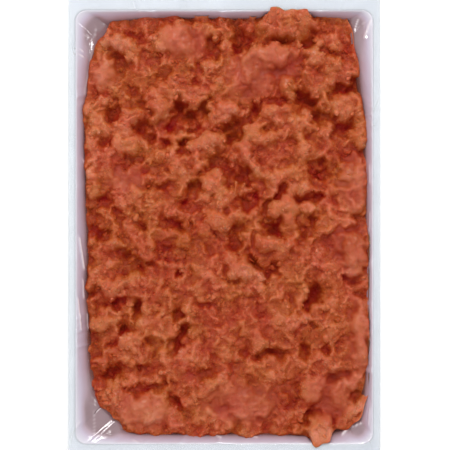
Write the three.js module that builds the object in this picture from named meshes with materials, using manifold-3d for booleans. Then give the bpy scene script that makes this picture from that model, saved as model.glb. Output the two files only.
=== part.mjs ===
// Crumbled spicy cod roe in a white foam tray that is lined with clear film.
// Millimetres. +X runs across the tray, +Y along it and +Z up. The origin is the middle of the tray's underside.
//
// Three solids, none of which touches another:
//   tray  a moulded foam box with sloping walls, a rounded rim and a flat underside
//   film  a thin sheet that lines the tray, folds over its rim and hangs down outside in an uneven hem
//   roe   the broken-up roe, whose crown is a relief of clumps and hollows, with two clumps that lie over the rim
import * as THREE from "three";
import { mergeVertices } from "three/addons/utils/BufferGeometryUtils.js";
import Module from "manifold-3d";

// ---------------------------------------------------------------- driving dimensions

const TRAY = {
  width: 170,
  length: 256,
  height: 36,
  floor: 5,
  sideRim: 4.1,
  endRim: 10,
  innerDraft: 4.6, // how far the inner wall leans in between the rim and the floor
  outerDraft: 2,
  innerCorner: 6,
  outerCorner: 4.5,
  lip: 1.2, // radius of the rim's two edges
  innerFoot: 3,
  outerFoot: 2.5,
};
const GAP = 0.3; // clear space between two neighbours
const FILM = { thickness: 0.4, hem: 13, hemWave: 2.4 };
const ROE = {
  bottom: TRAY.floor + 2 * GAP + FILM.thickness,
  level: 29.8, // the crown's height at its edges, before clumps and hollows
  crownAcross: 1.9,
  crownAlong: 0.9,
  edge: 26, // where the steep outer side starts
  shoulder: 5, // how far in from the edge the crown reaches its full height
  head: 116.5,
  foot: 116,
  cellsAcross: 56,
  cellsAlong: 82,
};
// Where the left and the right side of the roe run, as [y, left, right]; it draws in towards both ends.
const SIDES = [
  [-116, 72.5, 77], [-95, 75, 78.5], [-60, 77.8, 79.5], [0, 78.2, 80], [40, 78.5, 78.8], [66, 78.2, 76.5],
  [94, 75.2, 73.2], [117, 72.5, 71],
];
// How square each corner of the roe is: the exponent of its superellipse.
const SQUARENESS = { headLeft: 14, headRight: 14, footLeft: 6, footRight: 10 };

// ---------------------------------------------------------------- the forms of the crown

// Hollows: x, y, half length, half width, turn of the length from +X in degrees, depth.
const HOLLOWS = [
  [-57, 92, 7, 2.8, -55, 4.5], [-45, 95, 5, 3, 50, 3.5], [-46, 105, 5, 2.5, -10, 3.5], [-19, 82, 8, 7, 0, 3.5],
  [-6, 99, 5.5, 5, 80, 4.5], [-50, 72, 8, 3, -15, 2.5], [-60, 64, 6, 3, -70, 5.5], [-26, 64, 7, 4.5, 60, 8],
  [-22, 58, 10, 4, 0, 8], [-13, 64, 8, 3, 45, 7], [-44, 53, 5, 4.5, 0, 7.5], [-37, 48, 8, 2.6, -20, 3.5],
  [-22, 46, 5, 2.5, 70, 6.5], [-66, 48, 4, 2.5, 0, 3.5],
  [10, 102, 8, 5, 55, 6.5], [8, 97, 4, 3, 30, 3], [30, 104, 4, 2.6, 0, 4.5], [46, 103, 5, 3.4, 80, 4.5],
  [67, 91, 4, 2.2, -60, 4], [45, 69, 8, 4, -70, 7.5], [53, 60, 6.5, 3, -15, 8.5], [67, 76.5, 6.5, 2.2, 8, 8],
  [64, 52, 4.5, 3.4, 60, 6.5], [15, 62, 11, 2.3, 42, 6.5], [4, 53, 6.5, 4.5, 70, 8], [4, 71, 5, 4, 0, 3],
  [-46, 38, 5, 3, 0, 4], [-33, 24, 5.5, 3.5, 10, 4.5], [-17, 20, 7.5, 2.8, 72, 8.5], [-67, 14, 6, 3.5, 45, 5.5],
  [-59, 5, 5, 3.4, 90, 4], [-47, 2, 4, 2.5, 0, 5], [-24, 2, 3.2, 2.2, 90, 8], [-34, -11, 9, 4, 60, 4.5],
  [-69, -4, 4, 3, -50, 5.5], [-48, -20, 8, 4, -25, 4.5], [-25, -26, 3, 1.7, -10, 5],
  [3, 36, 4, 3, 0, 5], [8, 27, 6.5, 5, 0, 8], [13, 14, 7, 4, 20, 5.5], [27, 15, 7, 2.3, 52, 6.5],
  [28, -1, 6.5, 3, -50, 8.5], [5, -7, 7.5, 4.5, 80, 8.5], [18, -19, 8, 2.2, -55, 6.5], [26, -24, 5, 3, 0, 4.5],
  [50, 28, 6.5, 4.5, -60, 8.5], [54, 17, 8, 2.3, 5, 4.5], [43, -7, 6, 3.2, 65, 4.5], [49, -36, 7, 3, -80, 9],
  [72, 6.5, 4, 2.5, 0, 4.5], [68, -29, 5, 1.4, 15, 3.5],
  [-71, -37, 5, 2.5, 0, 5.5], [-61, -42, 6, 2, 10, 6], [-48, -45, 5, 2.6, 90, 6], [-57, -57, 5, 2, 65, 6.5],
  [-25, -60, 8, 2.6, 88, 9], [-66, -66, 6, 4, 0, 4.5], [-43, -65, 6, 2.4, 0, 3], [-45, -77, 4.5, 4, 0, 4.5],
  [-62, -81, 5.5, 4, 20, 7.5], [-43, -87.5, 8, 2.8, 12, 6.5], [-24, -98, 5, 2.2, -60, 5.5], [-25, -47, 5, 2.6, 60, 5],
  [30, -69, 6.5, 4, 0, 6.5], [16, -71, 7, 2.2, 0, 3.5], [49, -55, 4, 2.2, 90, 5.5], [44, -66, 4, 2.6, 90, 5.5],
  [57, -70, 4, 3.6, 0, 4.5], [63, -83, 6.5, 2.7, 15, 4.5], [36, -92, 7, 6, 90, 3], [73, -93, 5, 2.6, 50, 5.5],
  [50, -102, 5.5, 2.4, -25, 6.5],
];

// Large clumps: x, y, half length, half width, turn in degrees, how far the top stands over the crown.
const CLUMPS = [
  [-24, 102, 15, 9, -10, 4], [-66, 86, 10, 7, 80, 2.8], [-58, 101, 10, 5, -10, 2.6], [-36, 71, 10, 7, -35, 3.2],
  [-53, 60, 8, 5, 20, 2.8], [-56, 46, 8, 5, 0, 2.4], [-68, 55, 7, 6, 0, 2.6], [-35, 40, 9, 4, 15, 2.6],
  [33, 108, 12, 9, 0, 5.5], [57, 102, 9, 6, -10, 3.4], [28, 94, 18, 7, 12, 4.2], [57, 90, 13, 5, -12, 3.8],
  [18, 83, 14, 10, 0, 2.4], [34, 76, 7, 3, -50, 4.4], [53, 70, 8, 3, -75, 4], [28, 63, 9, 4, 10, 3.4],
  [41, 56, 7, 6, 0, 3.4], [-1, 65, 10, 6, 45, 3], [20, 49, 11, 4, -12, 3.4], [-10, 47, 9, 5, 0, 3],
  [-72, 32, 12, 4.5, 90, 2.6], [-8, 20, 9, 7, 60, 2.8], [-52, 20, 9, 5, -35, 2.4], [33, 12, 9, 5, -25, 3.8],
  [45, 22, 6, 3, -25, 3.6], [26, -9, 7, 5, 0, 3.2], [8, -22, 11, 7, -20, 3.2], [73, 22, 13, 7, 90, 3.2],
  [72, -16, 13, 8, 90, 3.4], [-62, -31, 9, 6, 0, 3], [-6, -30, 7, 6, 0, 2.8], [75, -60, 19, 6, 88, 4],
  [-67, -53, 7, 6, 90, 3.2], [-51, -64, 5, 4, 0, 3.2], [-41, -92, 5, 4, 80, 3], [-46, -101, 17, 7, -5, 3.2],
  [12, -98, 14, 9, 0, 2.6], [-12, -88, 9, 5, 25, 2.8], [50, -88, 9, 6, 75, 2.8], [70, -101, 7, 5, 35, 2.8],
  [36, -49, 10, 6, 0, 2.2], [-62, -96, 8, 5, -40, 2.4],
];

// Two clumps that reach over the rim: middle, half sizes across, along and upwards.
const RIM_CLUMPS = [
  { at: [33.5, 110, 32.8], half: [10.5, 10, 6.6] },
  { at: [52.5, -109.5, 32.6], half: [8.6, 12, 6.4] },
];

// Small clumps fill the rest of the crown, drawn from a seed.
const SCATTER = { seed: 1207, count: 620, radius: [4, 8.5], rise: 0.36, spread: 1.5 };

// ---------------------------------------------------------------- helpers

// A seeded stream of numbers between 0 and 1 (the minimal standard generator).
function stream(seed) {
  let state = seed;
  return () => {
    state = (state * 48271) % 2147483647;
    return state / 2147483647;
  };
}

const clamp01 = (t) => Math.min(1, Math.max(0, t));
const mix = (a, b, t) => a + (b - a) * t;

function smoothstep(from, to, t) {
  const s = clamp01((t - from) / (to - from));
  return s * s * (3 - 2 * s);
}

// How far (x, y) lies from the middle of a turned ellipse, where 1 is its rim.
function ellipseDistance(x, y, [cx, cy, halfLength, halfWidth, turn]) {
  const angle = THREE.MathUtils.degToRad(turn);
  const along = (x - cx) * Math.cos(angle) + (y - cy) * Math.sin(angle);
  const across = (y - cy) * Math.cos(angle) - (x - cx) * Math.sin(angle);
  return Math.hypot(along / halfLength, across / halfWidth);
}

// A closed skin through rings of equal count, anticlockwise from above. A fan closes the first ring and the last.
function loft(rings) {
  const count = rings[0].length;
  const points = rings.flat();
  const faces = [];
  for (let i = 0; i + 1 < rings.length; i++)
    for (let j = 0; j < count; j++) {
      const k = (j + 1) % count;
      const [a, b] = [i * count + j, i * count + k];
      const [c, d] = [a + count, b + count];
      faces.push(a, b, d, a, d, c);
    }
  const close = (start, turned) => {
    const ring = points.slice(start, start + count);
    const middle = ring.reduce((sum, p) => sum.add(p), new THREE.Vector3()).divideScalar(count);
    points.push(middle);
    for (let j = 0; j < count; j++) {
      const [a, b] = [start + j, start + ((j + 1) % count)];
      faces.push(points.length - 1, ...(turned ? [b, a] : [a, b]));
    }
  };
  close(0, true);
  close((rings.length - 1) * count, false);
  return meshData(points, faces);
}

function meshData(points, faces) {
  const geometry = new THREE.BufferGeometry().setFromPoints(points);
  geometry.setIndex(faces);
  return geometry;
}

// ---------------------------------------------------------------- tray and film

// The tray's section from its floor up the inner wall, over the rim and down the outer wall, as points of
// { inset, z, shift }: inset is measured in from the outer face at the rim, and shift is how far the offset
// has moved the point outwards. The surface is offset by so many millimetres away from the foam.
function section(rim, offset, outerEnd) {
  const { height, floor, innerDraft, outerDraft, lip, innerFoot } = TRAY;
  const points = [];
  const arc = (inset, z, radius, from, to, steps) => {
    for (let i = 0; i <= steps; i++) {
      const angle = THREE.MathUtils.degToRad(mix(from, to, i / steps));
      const shift = Math.cos(angle) * offset * Math.sign(radius);
      points.push({
        inset: inset - Math.cos(angle) * (Math.abs(radius) + offset * Math.sign(radius)),
        z: z + Math.sin(angle) * (Math.abs(radius) + offset * Math.sign(radius)),
        shift,
      });
    }
  };
  arc(rim + innerDraft + innerFoot, floor + innerFoot, -innerFoot, -90, -8, 3); // hollow foot of the inner wall
  arc(rim - lip, height - lip, lip, 172, 90, 3);
  arc(lip, height - lip, lip, 90, 2, 3);
  points.push({ inset: (outerDraft * (height - outerEnd)) / height - offset, z: outerEnd, shift: offset });
  return points;
}

// A rounded rectangle of points, anticlockwise from above, with cornerSteps on each arc and so many on each side.
function roundedRing(halfX, halfY, radius, z, { cornerSteps, endSteps, sideSteps }) {
  const ring = [];
  const corners = [[1, 1, 0, endSteps], [-1, 1, 90, sideSteps], [-1, -1, 180, endSteps], [1, -1, 270, sideSteps]];
  const arcPoint = ([sx, sy, start], t) => {
    const angle = THREE.MathUtils.degToRad(start + 90 * t);
    return new THREE.Vector3(
      sx * (halfX - radius) + Math.cos(angle) * radius,
      sy * (halfY - radius) + Math.sin(angle) * radius,
      z,
    );
  };
  corners.forEach((corner, i) => {
    for (let k = 0; k <= cornerSteps; k++) ring.push(arcPoint(corner, k / cornerSteps));
    const from = arcPoint(corner, 1);
    const to = arcPoint(corners[(i + 1) % 4], 0);
    const steps = corner[3];
    for (let k = 1; k < steps; k++) ring.push(from.clone().lerp(to, k / steps));
  });
  return ring;
}

// Rings round the tray at a given offset from its surface, from the floor to the outer end.
function trayRings(offset, outerEnd, steps) {
  const side = section(TRAY.sideRim, offset, outerEnd);
  const end = section(TRAY.endRim, offset, outerEnd);
  return side.map((p, i) => {
    const inside = i < side.length / 2 - 0.5;
    const corner = (inside ? TRAY.innerCorner : TRAY.outerCorner) + p.shift;
    return roundedRing(TRAY.width / 2 - p.inset, TRAY.length / 2 - end[i].inset, corner, p.z, steps);
  });
}

// The tray's body at an offset: 0 is the foam itself, and more is the space to keep clear round it.
function trayBody(offset) {
  const steps = { cornerSteps: 5, endSteps: 1, sideSteps: 1 };
  const { width, length, outerDraft, outerFoot, outerCorner } = TRAY;
  const foot = [0, 0.5, 1].map((t) => {
    const angle = THREE.MathUtils.degToRad(mix(-90, -4, t));
    const inset = outerDraft + outerFoot - Math.cos(angle) * outerFoot - offset;
    const z = outerFoot + Math.sin(angle) * outerFoot - offset;
    return roundedRing(width / 2 - inset, length / 2 - inset, outerCorner + offset, z, steps);
  });
  const upward = trayRings(offset, TRAY.height * 0.6, steps).reverse();
  return loft([...foot, ...upward]);
}

// The film follows the tray at a gap, and its hem rises and falls along the outer wall.
function filmBody() {
  const steps = { cornerSteps: 5, endSteps: 4, sideSteps: 6 };
  const hemEnd = TRAY.height - FILM.hem;
  const waveHem = (ring) => {
    ring.forEach((p) => {
      const along = Math.atan2(p.y / TRAY.length, p.x / TRAY.width);
      p.z += FILM.hemWave * (0.6 * Math.sin(4 * along + 0.7) + 0.4 * Math.sin(9 * along + 2.1));
    });
    return ring;
  };
  const foamSide = trayRings(GAP, hemEnd, steps);
  const openSide = trayRings(GAP + FILM.thickness, hemEnd, steps);
  waveHem(foamSide.at(-1));
  waveHem(openSide.at(-1));
  return loft([...foamSide, ...openSide.reverse()]);
}

// ---------------------------------------------------------------- roe

// Small clumps as [x, y, radius, radius, 0, rise over the crown].
function scatteredClumps() {
  const next = stream(SCATTER.seed);
  return Array.from({ length: SCATTER.count }, () => {
    const x = mix(-TRAY.width / 2, TRAY.width / 2, next());
    const y = mix(-ROE.foot, ROE.head, next());
    const radius = mix(...SCATTER.radius, next() ** 1.6);
    const rise = radius * SCATTER.rise + SCATTER.spread * (next() - 0.75);
    return [x, y, radius, radius, 0, rise];
  });
}
const ALL_CLUMPS = [...scatteredClumps(), ...CLUMPS];

// Height of the crown: a low dome, the highest clump that covers the point, and the hollows cut into both.
function crownHeight(x, y) {
  const dome = ROE.level + ROE.crownAcross * (1 - (x / 80) ** 2) + ROE.crownAlong * (1 - (y / 118) ** 2);
  let clump = -1;
  for (const form of ALL_CLUMPS) {
    if (Math.hypot(x - form[0], y - form[1]) > Math.max(form[2], form[3])) continue;
    const distance = ellipseDistance(x, y, form);
    if (distance < 1) clump = Math.max(clump, -1 + (form[5] + 1) * Math.sqrt(1 - distance ** 2));
  }
  let hollow = 0;
  for (const form of HOLLOWS) {
    if (Math.hypot(x - form[0], y - form[1]) > 1.5 * Math.max(form[2], form[3])) continue;
    hollow = Math.max(hollow, form[5] * (1 - smoothstep(0.4, 1.25, ellipseDistance(x, y, form))));
  }
  return dome + clump - hollow;
}

// Where a point of the square -1..1 lies on the roe, and how far in from the edge. Contours of the square
// turn into rounded rectangles towards the edge, each corner with its own squareness.
function plan(u, v) {
  const reach = Math.max(Math.abs(u), Math.abs(v));
  if (reach === 0) return { x: 0, y: 0, inward: ROE.shoulder };
  const end = v > 0 ? ROE.head : ROE.foot;
  const k = Math.max(1, SIDES.findIndex(([y]) => y >= v * end));
  const [from, to] = [SIDES[k - 1], SIDES[k]];
  const column = u > 0 ? 2 : 1;
  const side = mix(from[column], to[column], smoothstep(from[0], to[0], v * end));
  const [leftPower, rightPower] =
    v > 0 ? [SQUARENESS.headLeft, SQUARENESS.headRight] : [SQUARENESS.footLeft, SQUARENESS.footRight];
  const power = u > 0 ? rightPower : leftPower;
  const round = (Math.abs(u / reach) ** power + Math.abs(v / reach) ** power) ** (-1 / power);
  const ragged = 0.008 * (Math.sin(17 * Math.atan2(v, u)) + Math.sin(31 * Math.atan2(v, u) + 1));
  const scale = 1 + (round - 1 + ragged) * reach ** 6;
  const inward = Math.min((1 - Math.abs(u)) * side, (1 - Math.abs(v)) * end);
  return { x: side * u * scale, y: end * v * scale, inward };
}

// The nearest place to (x, y) that is clear of the film at height z.
function withinWalls(x, y, z) {
  const clear = 2 * GAP + FILM.thickness + 0.1;
  const lean = (TRAY.innerDraft * (TRAY.height - z)) / (TRAY.height - TRAY.floor);
  const halfX = TRAY.width / 2 - TRAY.sideRim - lean - clear;
  const halfY = TRAY.length / 2 - TRAY.endRim - lean - clear;
  return [Math.min(halfX, Math.max(-halfX, x)), Math.min(halfY, Math.max(-halfY, y))];
}

// The crown as a grid of points, its steep outer side and a flat underside.
function roeCore() {
  const { cellsAcross: columns, cellsAlong: rows } = ROE;
  const points = [];
  const faces = [];
  const at = (i, j) => j * (columns + 1) + i;
  for (let j = 0; j <= rows; j++)
    for (let i = 0; i <= columns; i++) {
      const { x, y, inward } = plan((2 * i) / columns - 1, (2 * j) / rows - 1);
      const rise = Math.sqrt(1 - (1 - clamp01(inward / ROE.shoulder)) ** 2);
      const z = mix(ROE.edge, crownHeight(x, y), rise);
      points.push(new THREE.Vector3(...withinWalls(x, y, z), z));
    }
  for (let j = 0; j < rows; j++)
    for (let i = 0; i < columns; i++) {
      const [a, b, c, d] = [at(i, j), at(i + 1, j), at(i + 1, j + 1), at(i, j + 1)];
      const alongAC = Math.abs(points[a].z - points[c].z) < Math.abs(points[b].z - points[d].z);
      faces.push(...(alongAC ? [a, b, c, a, c, d] : [a, b, d, b, c, d]));
    }
  const rim = []; // anticlockwise round the crown's edge
  for (let i = 0; i < columns; i++) rim.push(at(i, 0));
  for (let j = 0; j < rows; j++) rim.push(at(columns, j));
  for (let i = columns; i > 0; i--) rim.push(at(i, rows));
  for (let j = rows; j > 0; j--) rim.push(at(0, j));
  const footRing = rim.map((k) => {
    const [x, y] = withinWalls(points[k].x, points[k].y, ROE.bottom);
    const tuck = 0.985; // the underside is a little smaller than the mass above it
    points.push(new THREE.Vector3(x * tuck, y * tuck, ROE.bottom));
    return points.length - 1;
  });
  points.push(new THREE.Vector3(0, 0, ROE.bottom));
  const middle = points.length - 1;
  rim.forEach((k, i) => {
    const next = (i + 1) % rim.length;
    faces.push(footRing[i], footRing[next], rim[next], footRing[i], rim[next], k);
    faces.push(middle, footRing[next], footRing[i]);
  });
  return meshData(points, faces);
}

// A lumpy ellipsoid that stands for one clump lying over the rim.
function rimClump({ at, half }, seed) {
  const ball = mergeVertices(new THREE.IcosahedronGeometry(1, 3).deleteAttribute("normal").deleteAttribute("uv"));
  const next = stream(seed);
  const waves = Array.from({ length: 5 }, () => ({
    way: new THREE.Vector3(next() - 0.5, next() - 0.5, next() - 0.5).normalize().multiplyScalar(3.5),
    phase: 6.3 * next(),
  }));
  const place = ball.getAttribute("position");
  for (let i = 0; i < place.count; i++) {
    const p = new THREE.Vector3().fromBufferAttribute(place, i);
    const swell = 1 + waves.reduce((sum, w) => sum + 0.035 * Math.sin(p.dot(w.way) + w.phase), 0);
    p.multiplyScalar(swell).multiply(new THREE.Vector3(...half)).add(new THREE.Vector3(...at));
    place.setXYZ(i, p.x, p.y, p.z);
  }
  return ball;
}

// ---------------------------------------------------------------- joining and cutting

const wasm = await Module();
wasm.setup();

function solidOf(geometry) {
  const merged = mergeVertices(geometry, 1e-4);
  return new wasm.Manifold(
    new wasm.Mesh({
      numProp: 3,
      vertProperties: new Float32Array(merged.getAttribute("position").array),
      triVerts: new Uint32Array(merged.index.array),
    }),
  );
}

function geometryOf(solid) {
  const mesh = solid.getMesh();
  const places = Array.from({ length: mesh.numVert }, (_, i) =>
    new THREE.Vector3().fromArray(mesh.vertProperties, i * mesh.numProp));
  return meshData(places, [...mesh.triVerts]);
}

function roeBody() {
  const keptClear = solidOf(trayBody(2 * GAP + FILM.thickness));
  const joined = RIM_CLUMPS.reduce(
    (body, clump, i) => body.add(solidOf(rimClump(clump, 31 + i))),
    solidOf(roeCore()),
  );
  return geometryOf(joined.subtract(keptClear));
}

// ---------------------------------------------------------------- the object

function piece(name, geometry, material) {
  const mesh = new THREE.Mesh(geometry, new THREE.MeshStandardMaterial(material));
  mesh.name = name;
  return mesh;
}

const object = new THREE.Group();
object.add(
  piece("tray", trayBody(0), { color: 0xeef1f6, roughness: 0.55, metalness: 0 }),
  piece("film", filmBody(), { color: 0xf4f2f8, roughness: 0.1, metalness: 0, transparent: true, opacity: 0.25 }),
  piece("roe", roeBody(), { color: 0xb4502e, roughness: 0.45, metalness: 0 }),
);

export default object;
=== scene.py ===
# %% [markdown]
# # Spicy cod roe in a tray lined with film
#
# This lesson builds a tray of crumbled cod roe, seen from straight above. There are three kinds of stuff
# here: a white foam tray, a clear film that lines it, and the roe itself. The roe is the hard part. It is a
# wet, broken-up mass of eggs a millimetre across, with clumps, flakes and deep cracks between them.
#
# Nearly every shape below is a height or a position worked out for a whole grid of points at once with numpy.
# We think in millimetres and turn them into metres only when a mesh is made.

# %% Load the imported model
import math

import bpy
import numpy as np
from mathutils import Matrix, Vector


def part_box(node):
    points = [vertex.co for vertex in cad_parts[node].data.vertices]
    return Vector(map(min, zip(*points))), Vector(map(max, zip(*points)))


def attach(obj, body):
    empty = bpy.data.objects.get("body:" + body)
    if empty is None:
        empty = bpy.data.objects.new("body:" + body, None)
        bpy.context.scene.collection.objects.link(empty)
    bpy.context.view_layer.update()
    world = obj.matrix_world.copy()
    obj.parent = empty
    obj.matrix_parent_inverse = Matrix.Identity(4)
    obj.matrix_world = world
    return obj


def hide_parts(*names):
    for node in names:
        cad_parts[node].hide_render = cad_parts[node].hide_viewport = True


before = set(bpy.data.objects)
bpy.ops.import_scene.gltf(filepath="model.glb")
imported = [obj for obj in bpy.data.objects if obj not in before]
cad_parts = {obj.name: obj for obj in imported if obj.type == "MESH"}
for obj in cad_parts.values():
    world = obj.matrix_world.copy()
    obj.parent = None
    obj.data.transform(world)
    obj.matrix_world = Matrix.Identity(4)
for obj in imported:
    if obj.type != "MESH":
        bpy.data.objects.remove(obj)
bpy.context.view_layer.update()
MM = 0.001
print("nodes in the packed model:", sorted(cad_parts))

# %% [markdown]
# ## The sizes
#
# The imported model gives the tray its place. Its main sizes are repeated here by name, because the new tray,
# the new film and the roe are all worked out from them. Every length is in millimetres.

# %% The tray's sizes
TRAY = dict(width=170, length=256, height=36, floor=5, side_rim=4.1, end_rim=10, inner_draft=4.6,
            outer_draft=2, inner_corner=6, outer_corner=4.5, lip=1.2, inner_foot=3, outer_foot=2.5)
GAP = 0.3  # from the tray to the film, and from the film to the roe
FILM_THICKNESS = 0.4  # as the solid model has it
ROE_BOTTOM = TRAY["floor"] + 2 * GAP + FILM_THICKNESS
RIM_TOP = TRAY["height"] + 2 * GAP + FILM_THICKNESS
low, high = (np.array(c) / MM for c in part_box("tray"))
print("tray in the packed model, mm:", np.round(high - low, 1))

# %% [markdown]
# ## Small tools for shapes
#
# Three tools are enough for most of the shapes: a smooth step, a smooth random noise, and a function that
# turns arrays of points and faces into a mesh. Noise is what makes a worked-out shape look grown and not
# machined.

# %% Curves and noise
def mix(a, b, t):
    """The value a share t of the way from a to b."""
    return a + (b - a) * t


def smooth_step(start, end, t):
    """0 up to start and 1 from end on, and 3s^2 - 2s^3 of the share s of the way in between."""
    s = np.clip((t - start) / (end - start), 0, 1)
    return s * s * (3 - 2 * s)


def noise(x, y, size, seed):
    """Smooth noise from -1 to 1. A random value stands on each corner of a net of squares of the given size,
    and a point takes the mean of its four corners, weighted by the smooth step along both sides."""
    table = np.random.default_rng(seed).uniform(-1, 1, (256, 256))
    i, j = np.floor(x / size).astype(int), np.floor(y / size).astype(int)
    s, t = smooth_step(0, 1, x / size - i), smooth_step(0, 1, y / size - j)
    here, right = table[i % 256, j % 256], table[(i + 1) % 256, j % 256]
    above, across = table[i % 256, (j + 1) % 256], table[(i + 1) % 256, (j + 1) % 256]
    return mix(mix(here, right, s), mix(above, across, s), t)


def fractal(x, y, size, seed, octaves=3):
    """Noise of the given size plus ever finer noise, each half the size and 0.55 of the height of the
    last."""
    return sum(0.55**k * noise(x + 31 * k, y - 17 * k, size / 2**k, seed + k) for k in range(octaves))


def ridged(x, y, size, seed, octaves=3):
    """The noise without its sign plus ever finer noise of the kind, each half the size and 0.6 of the height
    of the last. Turned over, it makes sharp crests."""
    return sum(0.6**k * abs(noise(x + 31 * k, y - 17 * k, size / 2**k, seed + k)) for k in range(octaves))


def blurred(field, sigma):
    """The field with each value replaced by the mean round it under a bell curve of sigma cells, worked out
    as a product of spectra, which is quick for any sigma."""
    rows, columns = (np.fft.fftfreq(n) for n in field.shape)
    bell = np.exp(-2 * (math.pi * sigma) ** 2 * (rows[:, None] ** 2 + columns[None, :] ** 2))
    return np.fft.ifft2(np.fft.fft2(field) * bell).real


print("the smooth step at 0, 1/4, 1/2 and 1:", smooth_step(0, 1, np.array([0, 0.25, 0.5, 1])))


# %% Meshes from arrays
def make_mesh(name, points_mm, faces, smooth=True, **values):
    """A mesh object from an array of points and arrays of triangles or quads. Each extra named array is kept
    as a value on the points, for the material to read."""
    mesh = bpy.data.meshes.new(name)
    faces = [np.asarray(part) for part in (faces if isinstance(faces, (list, tuple)) else [faces])]
    corners = np.concatenate([part.ravel() for part in faces])
    sizes = np.concatenate([np.full(len(part), part.shape[1]) for part in faces])
    mesh.vertices.add(len(points_mm))
    mesh.vertices.foreach_set("co", (np.asarray(points_mm) * MM).astype(np.float32).ravel())
    mesh.loops.add(len(corners))
    mesh.loops.foreach_set("vertex_index", corners.astype(np.int32))
    mesh.polygons.add(len(sizes))
    mesh.polygons.foreach_set("loop_start", np.concatenate([[0], np.cumsum(sizes)[:-1]]).astype(np.int32))
    mesh.polygons.foreach_set("use_smooth", np.full(len(sizes), smooth))
    mesh.update(calc_edges=True)
    for key, value in values.items():
        attribute = mesh.attributes.new(key, "FLOAT", "POINT")
        attribute.data.foreach_set("value", np.asarray(value, np.float32).ravel())
    piece = bpy.data.objects.new(name, mesh)
    bpy.context.scene.collection.objects.link(piece)
    print(f"{name}: {len(points_mm)} points, {int((sizes - 2).sum())} triangles")
    return piece


# %% [markdown]
# ## The relief of the roe
#
# From above, the roe is a field of clumps with hollows and cracks between them, because the real thing is
# broken up by hand. We could sculpt it, but a relief map is easier to steer: a net of heights, half a
# millimetre apart. Each clump lifts the map to the top of a steep, round mound, the highest mound wins, and
# each hollow sinks it again. The large forms stand where they do on the real tray. Between them stand mounds
# drawn from a seed, as in the solid model, and torn flakes of three sizes and crests of noise make the finer
# relief.

# %% The large forms
# Hollows: x, y, half length, half width, turn of the length from +X in degrees, depth.
HOLLOWS = [
    (-57, 92, 7, 2.8, -55, 3), (-45, 95, 5, 3, 50, 3.5), (-46, 105, 5, 2.5, -10, 3.5),
    (-19, 82, 8, 7, 0, 3.5), (-6, 99, 5.5, 5, 80, 4.5), (-50, 72, 8, 3, -15, 2.5), (-60, 64, 6, 3, -70, 4),
    (-26, 64, 7, 4.5, 60, 8), (-24, 59, 11, 5.5, 8, 9.5), (-13, 64, 8, 3, 45, 7),
    (-42.5, 52.5, 6.5, 5, -20, 8.5), (-37, 48, 8, 2.6, -20, 3.5), (-22, 46, 5, 2.5, 70, 6.5),
    (-66, 48, 4, 2.5, 0, 3.5), (11, 101, 8, 5, 55, 7.5), (8, 97, 4, 3, 30, 3), (31, 104, 9, 3.4, 0, 3),
    (46, 103, 5, 3.4, 80, 4.5), (67, 91, 4, 2.2, -60, 4), (46, 69, 8, 4.5, -65, 8),
    (54, 60, 8, 3.8, -25, 8.5), (67, 75.5, 8, 4, 20, 9), (64.5, 53, 5, 4, 60, 7),
    (15, 62, 11, 2.3, 42, 6.5), (4, 53, 6.5, 4.5, 70, 8), (4, 71, 5, 4, 0, 3), (-46, 38, 5, 3, 0, 4),
    (-33, 24, 5.5, 3.5, 10, 4.5), (-18.5, 21, 8, 3.4, 72, 8.5), (-67, 14, 6, 3.5, 45, 5.5),
    (-59, 5, 5, 3.4, 90, 4), (-47, 2, 4, 2.5, 0, 5), (-25, 1.5, 5, 3.4, 0, 8), (-34, -11, 9, 4, 60, 4.5),
    (-69, -4, 4, 3, -50, 5.5), (-48, -19, 9, 4, -20, 6), (-25, -26, 3, 1.7, -10, 5),
    (-2, 34.5, 7, 4, -40, 8), (9, 28, 8, 5, -35, 8.5), (13, 14.5, 7, 4.4, 10, 8.5),
    (27, 15, 7, 2.3, 52, 6.5), (27, -0.5, 7, 3.4, -15, 8.5), (5, -8, 8, 5, 80, 9.5),
    (18, -19, 8, 2.8, -50, 6.5), (26, -24, 5, 3, 0, 4.5), (51, 31, 9, 6.5, -70, 9.5),
    (51, 15.5, 9, 3, 5, 6), (52, 2.5, 5, 3, 0, 4), (43, -7, 6, 3.2, 65, 4.5), (48, -38, 9, 3.4, 72, 9),
    (-39, 34, 7, 4, 0, 4.5), (62, 37, 8, 5, 20, 4), (72, 6.5, 4, 2.5, 0, 4.5), (68, -29, 5, 1.4, 15, 3.5),
    (-71, -37, 5, 2.5, 0, 5.5), (-61, -42, 6, 2, 10, 6), (-48, -45, 5, 3, 90, 7.5),
    (-57, -57, 5, 2, 65, 6.5), (-24.5, -63, 8, 3.6, 88, 9.5), (-66, -66, 6, 4, 0, 4.5),
    (-43, -65, 6, 2.4, 0, 3), (-45, -77, 4.5, 4, 0, 4.5), (-62, -81, 5.5, 4, 20, 7.5),
    (-40, -89, 9, 3.2, 8, 6.5), (-24, -98, 5, 2.2, -60, 5.5), (-25, -47, 5, 2.6, 60, 5),
    (29, -69, 6.5, 4, 0, 8), (16, -71, 7, 2.2, 0, 3.5), (50, -55, 4, 2, 90, 3.5), (41, -47, 4, 3, 0, 4),
    (44, -66, 4, 2.6, 90, 5.5), (57, -70, 4, 3, 0, 3), (63, -83, 6.5, 2.7, 15, 4.5), (36, -92, 7, 6, 90, 3),
    (73, -93, 5, 2.6, 50, 5.5), (51, -104.5, 5.5, 2.6, -20, 6), (51, 49, 5, 4, 0, 4),
    (-33, -46, 5, 7, 0, 3), (27, 42, 9, 6, 60, 3),
]
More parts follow.
